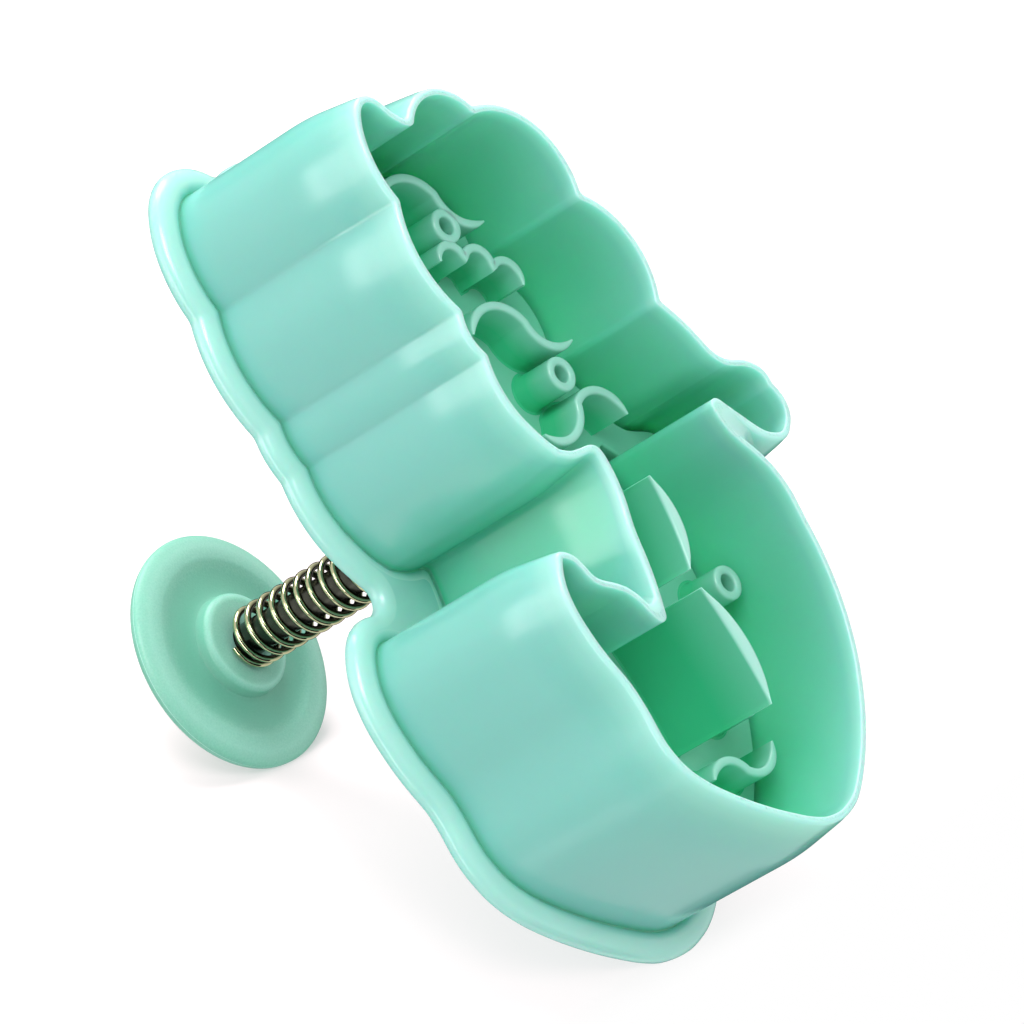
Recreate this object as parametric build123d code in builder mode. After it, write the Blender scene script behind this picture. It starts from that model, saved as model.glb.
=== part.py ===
from build123d import *
from math import atan, cos, degrees, pi, sqrt
import os

# Plunger cutter. The cutting edge lies on z = 0, +Z points along the plunger to its knob,
# +Y points to the scalloped head, and the flange's box is centred on the Z axis.

# Cutter shell: the wall's inner outline, the bevel outside its cutting edge, and the flange.
cutter_width = 48.6
cutter_length = 90.4
wall_height = 27.0
edge_thickness = 0.9
wall_thickness = 2.1
bevel_height = 8.0
flange_overhang = 3.3
flange_thickness = 2.3
flange_smoothing = 2.0
bead_round_below = 1.3
bead_round_above = 0.7

# Corners of the inner outline, anticlockwise: where each lies, as shares of the cutter's width
# and length, and how far the arc to the next corner swells, as a share of the arc's chord. From
# a corner marked smooth, the arc runs on in the direction of the one before it.
smooth = None
outline_shares = [
    (0.278, 0.496, 0.28),
    (0.216, 0.479, -0.14),
    (0.148, 0.448, 0.295),
    (-0.053, 0.429, 0.278),
    (-0.222, 0.285, 0.216),
    (-0.276, 0.131, 0.05),
    (-0.35, 0.046, -0.125),
    (-0.432, 0.017, smooth),
    (-0.481, -0.023, 0.13),
    (-0.498, -0.051, 0.29),
    (-0.379, -0.062, 0),
    (-0.274, 0.013, -0.125),
    (-0.309, -0.077, 0.1),
    (-0.342, -0.177, 0.078),
    (-0.212, -0.389, smooth),
    (-0.012, -0.491, 0.124),
    (0.177, -0.481, 0.03),
    (0.393, -0.397, smooth),
    (0.465, -0.323, -0.03),
    (0.465, -0.243, 0.04),
    (0.5, -0.149, smooth),
    (0.453, -0.08, 0.22),
    (0.414, -0.102, smooth),
    (0.366, -0.137, 0.1),
    (0.29, -0.176, -0.12),
    (0.255, -0.212, -0.04),
    (0.189, -0.091, -0.06),
    (0.148, 0.007, -0.25),
    (0.173, 0.022, 0),
    (0.228, 0.021, 0.157),
    (0.305, 0.056, 0.12),
    (0.326, 0.169, 0.15),
    (0.325, 0.228, 0.134),
    (0.321, 0.376, 0.125),
]

# Plunger: the stamp plate in the wall, the steel stem, and the knob with its raised collar.
plunger_y = 3.1
plate_face_height = 16.2
plate_thickness = 1.8
plate_gap = 0.5
hub_radius = 4.2
hub_height = 3.0
stem_radius = 2.0
stem_seat_depth = 1.0
knob_radius = 14.0
knob_thickness = 2.5
knob_edge_round = 1.2
knob_rim_width = 1.8
knob_dish_depth = 0.4
knob_height = 66.1
collar_radius = 6.0
collar_rise = 1.75
collar_round = 0.6
stem_tip_depth = 0.8

# Guide tube for the stem, under the shell's back, and the seat of the spring on top of it.
guide_radius = 4.2
seat_radius = 5.0
seat_rise = 1.0
running_clearance = 0.05
rest_gap = 0.3

# Return spring: wire, coil and turns.
wire_radius = 0.4
coil_radius = 3.2
closed_turns = 1
closed_pitch = 1.3
open_turns = 14
spring_gap = 0.3

# Raised ribs of the stamp, and the two tall crests in its lower half.
rib_width = 1.1
rib_height = 5.5
crest_height = 15.0

# How far each cut runs past what it cuts.
overrun = 1.0

# Waves: chains of arcs through places on the plate, as shares of the cutter's width and length
# from the middle of the outline, each with the swell of its arc as a share of the chord.
wave_shares = [
    [(0.1, 0.4, 0.25), (-0.07, 0.375, -0.22), (-0.17, 0.32, 0)],
    [(0.06, 0.205, 0.3), (-0.12, 0.19, -0.25), (-0.23, 0.145, 0)],
    [(0.02, 0.06, -0.3), (-0.14, 0.075, 0.3), (-0.27, 0.035, 0)],
    [(-0.13, -0.39, 0.28), (-0.01, -0.405, -0.28), (0.11, -0.395, 0)],
]
# Scallops: short arcs side by side, each from one place to the next.
scallop_shares = [(0.03, 0.3), (-0.05, 0.29), (-0.12, 0.265), (-0.18, 0.23)]
scallop_swell_share = 0.45
# Rings: centres, with the outer radius of all of them.
ring_shares = [(-0.05, 0.335), (-0.14, 0.115), (-0.05, 0.005), (-0.28, -0.2), (-0.12, -0.33)]
ring_radius = 2.1
# Crests: where each starts and ends, and the swells of its far and its near face.
crest_shares = [
    [(0.02, -0.045), (0.06, -0.165), 0.2, 0.04],
    [(0.06, -0.19), (0.05, -0.35), 0.17, 0.03],
]


def place(x_share, y_share, middle):
    """Give the point that lies these shares of the cutter's width and length from the middle."""
    return middle + Vector(x_share * cutter_width, y_share * cutter_length)


def chain(corners, middle):
    """Draw arcs and lines from corner to corner; a corner holds x, y and the swell to the next."""
    before = None
    for (x, y, swell), (next_x, next_y, _) in zip(corners, corners[1:]):
        start = place(x, y, middle)
        end = place(next_x, next_y, middle)
        if swell == smooth:
            before = TangentArc(start, end, tangent=before % 1)
        elif swell:
            before = SagittaArc(start, end, -swell * (end - start).length)
        else:
            before = Line(start, end)


def biarc(start, start_way, end, end_way):
    """Draw two arcs that leave the start and reach the end in the given directions."""
    span = end - start
    ways = start_way + end_way
    square = 2 * (1 - start_way.dot(end_way))
    linear = 2 * span.dot(ways)
    reach = (sqrt(linear**2 + 4 * square * span.dot(span)) - linear) / 2 / square
    first_corner = start + start_way * reach
    second_corner = end - end_way * reach
    joint = (first_corner + second_corner) * 0.5
    TangentArc(start, joint, tangent=start_way)
    TangentArc(joint, end, tangent=second_corner - first_corner)


# Outlines, with the flange's box centred.
with BuildSketch() as drawn_outline:
    with BuildLine():
        chain(outline_shares + outline_shares[:1], Vector(0, 0))
    make_face()
with BuildSketch() as drawn_flange:
    add(drawn_outline.sketch)
    offset(amount=wall_thickness + flange_overhang + flange_smoothing, kind=Kind.ARC)
    offset(amount=-flange_smoothing, kind=Kind.ARC)
middle = -drawn_flange.sketch.bounding_box().center()
cavity_outline = drawn_outline.sketch.moved(Location(middle))
flange_outline = drawn_flange.sketch.moved(Location(middle))
with BuildSketch() as edge_outline:
    add(cavity_outline)
    offset(amount=edge_thickness, kind=Kind.ARC)
with BuildSketch() as plate_outline:
    add(cavity_outline)
    offset(amount=-plate_gap, kind=Kind.ARC)

# Heights that follow from the sizes above.
shell_back_height = wall_height + flange_thickness
seat_height = shell_back_height + seat_rise
plate_back_height = plate_face_height + plate_thickness
hub_top_height = plate_back_height + hub_height
guide_foot_height = hub_top_height + rest_gap
stem_foot_height = plate_face_height + stem_seat_depth
knob_face_height = knob_height - knob_thickness / 2
knob_top_height = knob_height + knob_thickness / 2
collar_face_height = knob_face_height - collar_rise
stem_tip_height = knob_top_height - stem_tip_depth
spring_length = collar_face_height - spring_gap - seat_height
bevel_angle = degrees(atan((wall_thickness - edge_thickness) / bevel_height))

with BuildPart() as cutter_shell:
    # The flange and the back are one plate with a beaded rim, rounder below than above.
    with BuildSketch(Plane.XY.offset(wall_height)):
        add(flange_outline)
    extrude(amount=flange_thickness)
    fillet(cutter_shell.faces().sort_by(Axis.Z)[-1].edges(), bead_round_above)
    fillet(cutter_shell.faces().sort_by(Axis.Z)[0].edges(), bead_round_below)
    # The wall thickens from the cutting edge over the bevel and runs straight into the flange.
    with BuildSketch():
        add(edge_outline.sketch)
    bevel = extrude(amount=bevel_height, taper=-bevel_angle)
    extrude(
        bevel.faces().sort_by(Axis.Z)[-1],
        amount=wall_height - bevel_height + flange_thickness / 2,
    )
    # Its inner face stands straight from the cutting edge to the underside of the back.
    with BuildSketch(Plane.XY.offset(-overrun)):
        add(cavity_outline)
    extrude(amount=wall_height + overrun, mode=Mode.SUBTRACT)
    # Guide tube inside, seat outside, and the stem's bore through both.
    with BuildSketch(Plane.XY.offset(guide_foot_height)):
        with Locations((0, plunger_y)):
            Circle(guide_radius)
    extrude(amount=shell_back_height - guide_foot_height)
    with BuildSketch(Plane.XY.offset(shell_back_height)):
        with Locations((0, plunger_y)):
            Circle(seat_radius)
    extrude(amount=seat_rise)
    with BuildSketch(Plane.XY.offset(guide_foot_height - overrun)):
        with Locations((0, plunger_y)):
            Circle(stem_radius + running_clearance)
    extrude(amount=seat_height - guide_foot_height + 2 * overrun, mode=Mode.SUBTRACT)

with BuildPart() as stamp_plate:
    with BuildSketch(Plane.XY.offset(plate_face_height)):
        add(plate_outline.sketch)
    extrude(amount=plate_thickness)
    # Hub behind the plate, with the stem's blind seat.
    with BuildSketch(Plane.XY.offset(plate_back_height)):
        with Locations((0, plunger_y)):
            Circle(hub_radius)
    extrude(amount=hub_height)
    with BuildSketch(Plane.XY.offset(stem_foot_height)):
        with Locations((0, plunger_y)):
            Circle(stem_radius)
    extrude(amount=hub_top_height + overrun - stem_foot_height, mode=Mode.SUBTRACT)
    # Ribs on its face: waves, scallops and rings.
    with BuildSketch(Plane.XY.offset(plate_face_height - rib_height)):
        for wave in wave_shares:
            with BuildLine() as wave_line:
                chain(wave, middle)
            SlotArc(wave_line.wire(), rib_width)
        with BuildLine() as scallop_line:
            chain([(x, y, scallop_swell_share) for x, y in scallop_shares], middle)
        SlotArc(scallop_line.wire(), rib_width)
        for x, y in ring_shares:
            with Locations(place(x, y, middle)):
                Circle(ring_radius)
                Circle(ring_radius - rib_width, mode=Mode.SUBTRACT)
    extrude(amount=rib_height + plate_thickness / 2)
    # Crests: tall crescent walls.
    with BuildSketch(Plane.XY.offset(plate_face_height - crest_height)):
        for head_end, foot_end, far_swell, near_swell in crest_shares:
            with BuildLine():
                chain([(*head_end, far_swell), (*foot_end, -near_swell), (*head_end, 0)], middle)
            make_face()
    extrude(amount=crest_height + plate_thickness / 2)

with BuildPart() as plunger_stem:
    with BuildSketch(Plane.XY.offset(stem_foot_height)):
        with Locations((0, plunger_y)):
            Circle(stem_radius)
    extrude(amount=stem_tip_height - stem_foot_height)

with BuildPart() as plunger_knob:
    # Half a section: the collar, the dished face round it, the rounded edge and the palm side.
    with BuildSketch(Plane.XZ.offset(-plunger_y)):
        with BuildLine():
            Line((0, collar_face_height), (collar_radius, collar_face_height))
            Line((collar_radius, collar_face_height), (collar_radius, knob_face_height))
            SagittaArc(
                (collar_radius, knob_face_height),
                (knob_radius - knob_rim_width, knob_face_height),
                knob_dish_depth,
            )
            Line((knob_radius - knob_rim_width, knob_face_height), (knob_radius, knob_face_height))
            Line((knob_radius, knob_face_height), (knob_radius, knob_top_height))
            Line((knob_radius, knob_top_height), (0, knob_top_height))
            Line((0, knob_top_height), (0, collar_face_height))
        make_face()
    revolve(axis=Axis((0, plunger_y, 0), (0, 0, 1)))
    rim_edges = plunger_knob.edges().filter_by(GeomType.CIRCLE).sort_by(SortBy.RADIUS)[-2:]
    fillet(rim_edges, knob_edge_round)
    fillet(plunger_knob.edges().filter_by(GeomType.CIRCLE).sort_by(Axis.Z)[0], collar_round)
    # Blind seat of the stem.
    with BuildSketch(Plane.XY.offset(collar_face_height - overrun)):
        with Locations((0, plunger_y)):
            Circle(stem_radius)
    extrude(amount=stem_tip_height - collar_face_height + overrun, mode=Mode.SUBTRACT)


# The spring's wire, half a turn at a time: closed turns at both ends and open ones between.
closed_halves = [closed_pitch / 2] * 2 * closed_turns
open_rise = spring_length - 2 * wire_radius - 2 * closed_turns * closed_pitch
rises = closed_halves + [open_rise / open_turns / 2] * 2 * open_turns + closed_halves
stations = []
station_height = seat_height + wire_radius
for index, (rise_below, rise_above) in enumerate(zip(rises[:1] + rises, rises + rises[-1:])):
    across = coil_radius * cos(pi * index)
    slope = (rise_below + rise_above) / 2 / pi
    centre = Vector(across, plunger_y, station_height)
    way = Vector(0, across, slope).normalized()
    stations.append((centre, way))
    station_height += rise_above

with BuildLine() as spring_wire:
    for (start, start_way), (end, end_way) in zip(stations, stations[1:]):
        biarc(start, start_way, end, end_way)

with BuildPart() as return_spring:
    with BuildSketch(Plane(origin=stations[0][0], z_dir=stations[0][1])):
        Circle(wire_radius)
    sweep(path=spring_wire.wire())

# The least gap between turns, measured between points along the wire.
points_per_arc = 6
arcs_apart = 3
samples = []
for arc_index, arc in enumerate(spring_wire.edges()):
    for step in range(points_per_arc):
        samples.append((arc_index, arc @ (step / points_per_arc)))
least_gap = min(
    (point - other).length
    for arc_index, point in samples
    for other_index, other in samples
    if other_index - arc_index >= arcs_apart
) - 2 * wire_radius
print("least gap of the spring to itself, mm:", round(least_gap, 3))

os.makedirs("parts", exist_ok=True)
for name, built in (
    ("cutter_shell", cutter_shell),
    ("stamp_plate", stamp_plate),
    ("plunger_stem", plunger_stem),
    ("plunger_knob", plunger_knob),
    ("return_spring", return_spring),
):
    built.part.label = name
    export_step(built.part, f"parts/{name}.step")
    print(name, built.part.volume, built.part.is_valid, built.part.bounding_box())
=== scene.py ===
from math import atan, atan2, cos, exp, hypot, pi, radians, sin, tau

import bmesh
import bpy
import numpy as np
from mathutils import Matrix, Vector
from mathutils.kdtree import KDTree


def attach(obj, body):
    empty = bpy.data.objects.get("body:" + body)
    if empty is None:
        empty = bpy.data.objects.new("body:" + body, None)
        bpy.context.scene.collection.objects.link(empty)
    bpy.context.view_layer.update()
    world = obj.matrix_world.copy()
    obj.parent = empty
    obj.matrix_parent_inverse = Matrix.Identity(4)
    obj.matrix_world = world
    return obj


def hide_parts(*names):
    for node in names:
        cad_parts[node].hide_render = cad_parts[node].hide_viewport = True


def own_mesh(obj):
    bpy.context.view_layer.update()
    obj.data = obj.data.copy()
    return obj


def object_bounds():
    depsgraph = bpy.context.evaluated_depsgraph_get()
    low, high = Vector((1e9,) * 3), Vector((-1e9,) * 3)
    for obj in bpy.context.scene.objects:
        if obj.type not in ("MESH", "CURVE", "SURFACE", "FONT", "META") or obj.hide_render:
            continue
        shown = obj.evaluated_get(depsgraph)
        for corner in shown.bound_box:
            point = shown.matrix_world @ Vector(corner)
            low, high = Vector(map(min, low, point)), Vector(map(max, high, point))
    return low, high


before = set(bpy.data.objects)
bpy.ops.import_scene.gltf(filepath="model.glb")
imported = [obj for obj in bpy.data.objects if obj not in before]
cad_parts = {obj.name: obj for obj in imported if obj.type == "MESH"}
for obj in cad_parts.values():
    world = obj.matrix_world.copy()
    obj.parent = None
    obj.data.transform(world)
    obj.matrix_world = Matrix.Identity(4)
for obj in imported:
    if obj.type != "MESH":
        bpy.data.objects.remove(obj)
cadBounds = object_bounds()
mm = 0.001
# The plunger's axis and its rod, which several pieces share, as in the CAD.
plungerY = 3.1
rodRadius = 2.0

# Helpers for nodes, colours and objects


def hexToLinear(hexColour):
    channels = [int(hexColour[i : i + 2], 16) / 255 for i in (1, 3, 5)]
    linear = [c / 12.92 if c <= 0.04045 else ((c + 0.055) / 1.055) ** 2.4 for c in channels]
    return (*linear, 1.0)


# Adds a node. Inputs go by socket name or number; each is a value, a socket, or a node whose first
# output is linked. The rest are the node's own settings.
def addNode(tree, kind, inputs=None, **settings):
    node = tree.nodes.new(kind)
    for name, value in settings.items():
        setattr(node, name, value)
    for name, value in (inputs or {}).items():
        if isinstance(value, bpy.types.Node):
            value = value.outputs[0]
        if isinstance(value, bpy.types.NodeSocket):
            tree.links.new(value, node.inputs[name])
        else:
            node.inputs[name].default_value = value
    return node


# Adds a chain of sums. Each row has a name, an operation and its terms, which are values or the
# names of what is known so far.
def addSums(tree, kind, known, rows):
    for name, operation, *terms in rows:
        values = [known[term] if isinstance(term, str) else term for term in terms]
        known[name] = addNode(tree, kind, dict(enumerate(values)), operation=operation)


def newMaterial(name):
    material = bpy.data.materials.new(name)
    material.use_nodes = True
    material.node_tree.nodes.clear()
    return material, material.node_tree


def addObject(name, data):
    thing = bpy.data.objects.new(name, data)
    bpy.context.scene.collection.objects.link(thing)
    return thing


# Camera, at the photograph's viewing angle

cameraSettings = {
    "place": (0.751318, -0.02067, -0.596336),
    "right": (-0.55761, -0.50114, -0.66177),
    "up": (-0.30387, 0.86510, -0.39908),
    "forward": (-0.77249, 0.02144, 0.63467),
    "lens": 316.4,
    "sensor": 36,
    "clip": (0.05, 20),
}


def makeCamera(s):
    data = bpy.data.cameras.new("productCamera")
    data.lens = s["lens"]
    data.sensor_width = s["sensor"]
    data.clip_start, data.clip_end = s["clip"]
    camera = addObject("productCamera", data)
    right, up, forward = (Vector(s[way]).normalized() for way in ("right", "up", "forward"))
    turn = Matrix((right, up, -forward)).transposed().to_4x4()
    camera.matrix_world = Matrix.Translation(s["place"]) @ turn
    bpy.context.scene.camera = camera


makeCamera(cameraSettings)
print("camera placed")

# Materials

plasticSettings = {
    # Colours: a painted highlight for edges and beads, the plain wall, and painted cavity shade.
    "paintedHighlight": "#BBE3DC",
    "outer": "#83C9BF",
    "deep": "#50D8A6",
    "roughness": 0.21,
    "glossSpread": (-0.05, 0.07),
    "ior": 1.52,
    "scatter": 1.0,
    "scatterShares": (0.4, 1.0, 0.75),
    "scatterDepth": 2.6,
    "polishGrain": 0.12,
    "grainBump": 0.04,
    "grainTone": 0.02,
    "flowSpan": 14.0,
    "flowTone": 0.06,
}


# Grain finer than a millimetre, with the gloss and the relief that it gives a surface.
def addGrain(tree, place, size, detail, gloss, strength, relief):
    span = {"Vector": place, "Scale": 1 / (size * mm), "Detail": detail}
    grain = addNode(tree, "ShaderNodeTexNoise", span)
    low, high = gloss
    shine = addNode(tree, "ShaderNodeMapRange", {"Value": grain, "To Min": low, "To Max": high})
    height = {"Height": grain, "Strength": strength, "Distance": relief * mm}
    return grain, shine, addNode(tree, "ShaderNodeBump", height)


# Injection-moulded polypropylene, a little translucent: satin from a polished mould, matt from an
# eroded one. A painted shading attribute leads its colour from a painted highlight on edges and
# beads (-1) over plain walls (0) to painted shade deep in the cavity (1), a more saturated green.
def mouldedPolypropylene(name, s):
    material, tree = newMaterial(name)
    place = addNode(tree, "ShaderNodeTexCoord").outputs["Object"]
    depth = addNode(tree, "ShaderNodeAttribute", attribute_name="depth").outputs["Fac"]
    # Slight clouding from the melt's flow.
    span, tone = {"Vector": place, "Scale": 1 / (s["flowSpan"] * mm), "Detail": 3.0}, s["flowTone"]
    flow = addNode(tree, "ShaderNodeTexNoise", span)
    cloud = addNode(tree, "ShaderNodeMapRange", {"Value": flow, "To Min": -tone, "To Max": tone})
    # Fine grain from the polish or the spark erosion of the mould.
    size, shine = s["polishGrain"], [s["roughness"] + spread for spread in s["glossSpread"]]
    grain, gloss, bump = addGrain(tree, place, size, 4.0, shine, s["grainBump"], 0.2 * size)
    tones = {"From Min": 0.3, "From Max": 0.7, "To Min": -s["grainTone"], "To Max": s["grainTone"]}
    speckle = addNode(tree, "ShaderNodeMapRange", {"Value": grain, **tones})
    mottled = addNode(tree, "ShaderNodeMath", {0: cloud, 1: speckle}, operation="ADD")
    shadingAndCloud = addNode(tree, "ShaderNodeMath", {0: depth, 1: mottled}, operation="ADD")
    less = {0: shadingAndCloud, 1: -1.0}
    highlightShare = addNode(tree, "ShaderNodeMath", less, operation="MULTIPLY", use_clamp=True)
    outer, deep, paintedHighlight = (hexToLinear(s[colour]) for colour in ("outer", "deep", "paintedHighlight"))
    # Painted shading: the deep colour is painted cavity shade, the pale one a painted highlight.
    deepening = {"Factor": shadingAndCloud, 6: outer, 7: deep}
    cavityShaded = addNode(tree, "ShaderNodeMix", deepening, data_type="RGBA").outputs[2]
    paling = {"Factor": highlightShare, 6: cavityShaded, 7: paintedHighlight}
    tint = addNode(tree, "ShaderNodeMix", paling, data_type="RGBA").outputs[2]
    finish = {
        "Base Color": tint,
        "Roughness": gloss,
        "IOR": s["ior"],
        "Subsurface Weight": s["scatter"],
        "Subsurface Radius": s["scatterShares"],
        "Subsurface Scale": s["scatterDepth"] * mm,
        "Normal": bump,
    }
    shader = addNode(tree, "ShaderNodeBsdfPrincipled", finish)
    addNode(tree, "ShaderNodeOutputMaterial", {"Surface": shader})
    return material


# Drawn metal: lines along the drawing, here as fine grain stretched along Z. It is bright on the
# outside, far from the plunger's axis, and painted shade darkens it towards the axis, in the gaps.
def drawnMetal(name, s):
    material, tree = newMaterial(name)
    place = addNode(tree, "ShaderNodeTexCoord").outputs["Object"]
    shift = {0: place, 1: (1.0, 1.0, 0.0), 2: (0.0, -plungerY * mm, 0.0)}
    fromAxis = addNode(tree, "ShaderNodeVectorMath", shift, operation="MULTIPLY_ADD")
    radius = addNode(tree, "ShaderNodeVectorMath", {0: fromAxis}, operation="LENGTH").outputs["Value"]
    gap = {"Value": radius, "From Min": s["gapFrom"] * mm, "From Max": s["gapTo"] * mm}
    outside = addNode(tree, "ShaderNodeMapRange", gap, interpolation_type="SMOOTHSTEP")
    # Painted shade: the gap colour darkens the metal towards the axis.
    dark, bright = hexToLinear(s["gapShadeColour"]), hexToLinear(s["colour"])
    tone = addNode(tree, "ShaderNodeMix", {"Factor": outside, 6: dark, 7: bright}, data_type="RGBA")
    lines = addNode(tree, "ShaderNodeMapping", {"Vector": place, "Scale": (1.0, 1.0, s["stretch"])})
    shine = [s["roughness"] * share for share in s["glossShares"]]
    _, gloss, bump = addGrain(
        tree, lines, s["drawLine"], 3.0, shine, s["lineBump"], s["lineRelief"]
    )
    finish = {"Base Color": tone.outputs[2], "Metallic": 1.0, "Roughness": gloss, "Normal": bump}
    shader = addNode(tree, "ShaderNodeBsdfPrincipled", finish)
    addNode(tree, "ShaderNodeOutputMaterial", {"Surface": shader})
    return material


# Mesh helpers, all in millimetres up to the vertices


# A point of an arc over a chord, at a share of its length; half is half the arc's turn.
def arcPoint(start, chord, half, share):
    if abs(half) < 1e-6:
        return start + chord * share
    angle = half * (2 * share - 1)
    along = 0.5 + sin(angle) / sin(half) / 2
    bulge = (cos(angle) - cos(half)) / sin(half) / 2
    return start + chord * along + np.array((chord[1], -chord[0])) * bulge


# Dense samples of a closed outline of arcs: points, outward facings with a fan at each corner,
# and the corners that hardly turn.
def sampleOutline(corners, scale, spacing, softTurn, fanCount=12):
    points, headings, soft, arcs = [], [], [], []
    heading = None
    for (x, y, swell), (nextX, nextY, _) in zip(corners, corners[1:] + corners[:1]):
        start = np.array((x, y)) * scale
        chord = np.array((nextX, nextY)) * scale - start
        chordHeading = atan2(chord[1], chord[0])
        if swell is None:
            half = (chordHeading - heading + pi) % tau - pi
        else:
            half = 2 * atan(2 * swell)
        heading = chordHeading + half
        arcs.append((start, chord, chordHeading, half))
    for (start, chord, chordHeading, half), before in zip(arcs, arcs[-1:] + arcs[:-1]):
        arrival = before[2] + before[3]
        turn = (chordHeading - half - arrival + pi) % tau - pi
        if abs(turn) < softTurn:
            soft.append(start)
        else:
            for step in range(1, fanCount):
                points.append(start)
                headings.append(arrival + turn * step / fanCount)
        count = max(3, round(hypot(*chord) / spacing))
        for step in range(count):
            share = (step + 0.5) / count
            points.append(arcPoint(start, chord, half, share))
            headings.append(chordHeading - half + 2 * half * share)
    facings = np.array([(sin(h), -cos(h)) for h in headings])
    return np.array(points), facings, np.array(soft)


# Blurs the outline along itself near the given corners, so that they leave no line on the wall.
def softenCorners(points, facings, soft, blur):
    gaps = np.hypot(*(np.roll(points, -1, 0) - points).T)
    weights = (gaps + np.roll(gaps, 1)) / 2
    along = np.cumsum(gaps) - gaps
    whole = gaps.sum()
    nearest = np.min(np.hypot(*(points[:, None] - soft[None]).transpose(2, 0, 1)), axis=1)
    newPoints, newFacings = points.copy(), facings.copy()
    changed = np.nonzero(nearest < 3 * blur)[0]
    for index in changed:
        apart = (along - along[index] + whole / 2) % whole - whole / 2
        pull = weights * np.exp(-((apart / blur) ** 2) / 2) * (np.abs(apart) < 4 * blur)
        pull /= pull.sum()
        share = min(1.0, max(0.0, 3 - nearest[index] / blur) / 1.5)
        share = share * share * (3 - 2 * share)
        newPoints[index] += share * (pull @ points - points[index])
    ahead = np.roll(newPoints, -1, 0) - np.roll(newPoints, 1, 0)
    for index in changed:
        if min(gaps[index], gaps[index - 1]) > 1e-6:
            newFacings[index] = -turned(ahead[index]) / hypot(*ahead[index])
    return newPoints, newFacings


# A quarter turn to the left.
def turned(facing):
    return np.array((-facing[1], facing[0]))


# Keeps samples about spacing apart, closer where the outline turns.
def thinOutline(points, facings, spacing, turnStep):
    gaps = np.hypot(*(np.roll(points, -1, 0) - points).T)
    turns = np.arccos(np.clip((np.roll(facings, -1, 0) * facings).sum(1), -1, 1))
    along = np.cumsum(gaps / spacing + turns / turnStep)
    count = int(along[-1])
    kept = np.searchsorted(along, np.arange(count) * along[-1] / count)
    return points[kept], facings[kept]


# A closed outline moved outwards by reach and back: corners that crowd together on the way become
# round, with their facings fanned. Returns, for each sample, an anchor and a facing, so that the
# outline at any distance is anchor + facing * (distance - held), held being 0 or reach.
def roundOutline(points, facings, reach, witnesses):
    tree = KDTree(len(witnesses))
    for index, (x, y) in enumerate(witnesses):
        tree.insert((x, y, 0), index)
    tree.balance()
    moved = points + facings * reach
    clear = np.array([tree.find((x, y, 0))[2] > abs(reach) - 0.004 for x, y in moved])
    count = len(points)
    first = next(i for i in range(count) if clear[i] and clear[i - 1])
    anchors, fanned, held = points.copy(), facings.copy(), np.zeros(count)
    step = 0
    while step < count:
        index = (first + step) % count
        if clear[index]:
            step += 1
            continue
        run = 1
        while not clear[(first + step + run) % count]:
            run += 1
        before, after = (index - 1) % count, (index + run) % count
        gap = moved[after] - moved[before]
        along, back = turned(facings[before]), -turned(facings[after])
        cross = along[0] * back[1] - along[1] * back[0]
        if abs(cross) > 0.02:
            corner = moved[before] + along * (gap[0] * back[1] - gap[1] * back[0]) / cross
        else:
            corner = moved[before] + gap / 2
        fromAngle, toAngle = (atan2(*facings[end][::-1]) for end in (before, after))
        swing = (toAngle - fromAngle + pi) % tau - pi
        for place in range(run):
            angle = fromAngle + swing * (place + 1) / (run + 1)
            slot = (index + place) % count
            anchors[slot] = corner
            fanned[slot] = (cos(angle), sin(angle))
            held[slot] = reach
        step += run
    return anchors, fanned, held


# The outline at some distance outwards, its inner corners rounded as if first moved to reach.
def outlineAt(outline, distance, reach):
    key = round(reach, 4)
    if key not in outline["rounded"]:
        outline["rounded"][key] = roundOutline(
            outline["points"], outline["facings"], reach, outline["witnesses"]
        )
    anchors, fanned, held = outline["rounded"][key]
    return anchors + fanned * (distance - held)[:, None]


# The painted shading is one value or one for each point.
def addRing(bm, flat, height, depth=0.0):
    layer = bm.verts.layers.float.get("depth") or bm.verts.layers.float.new("depth")
    ring = []
    for (x, y), pointShading in zip(flat, np.broadcast_to(depth, len(flat))):
        vertex = bm.verts.new((x * mm, y * mm, height * mm))
        vertex[layer] = float(pointShading)
        ring.append(vertex)
    return ring


def joinRings(bm, rings):
    for lower, upper in zip(rings, rings[1:]):
        for i in range(len(lower)):
            j = (i + 1) % len(lower)
            bm.faces.new((lower[i], lower[j], upper[j], upper[i]))


def fillBetween(bm, *rings):
    edges = []
    for ring in rings:
        pairs = zip(ring, ring[1:] + ring[:1])
        edges += [bm.edges.get(pair) or bm.edges.new(pair) for pair in pairs]
    bmesh.ops.triangle_fill(bm, use_beauty=True, use_dissolve=False, edges=edges)


def addPiece(name, bm, material, creaseAngle=35.0):
    bmesh.ops.remove_doubles(bm, verts=bm.verts, dist=0.002 * mm)
    bmesh.ops.dissolve_degenerate(bm, dist=0.001 * mm, edges=bm.edges)
    bmesh.ops.recalc_face_normals(bm, faces=bm.faces)
    mesh = bpy.data.meshes.new(name)
    bm.to_mesh(mesh)
    bm.free()
    mesh.shade_smooth()
    mesh.set_sharp_from_angle(angle=radians(creaseAngle))
    mesh.materials.append(material)
    return addObject(name, mesh)


# Turns a section of (radius, height) pairs about the plunger's axis.
def latheRings(bm, section, count, paintedShadings=None):
    turns = np.arange(count) * tau / count
    unit = np.stack((np.cos(turns), np.sin(turns)), 1)
    rings = []
    for (radius, height), depth in zip(section, paintedShadings or [0.0] * len(section)):
        rings.append(addRing(bm, radius * unit + (0, plungerY), height, depth))
    joinRings(bm, rings)
    return rings


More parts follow.
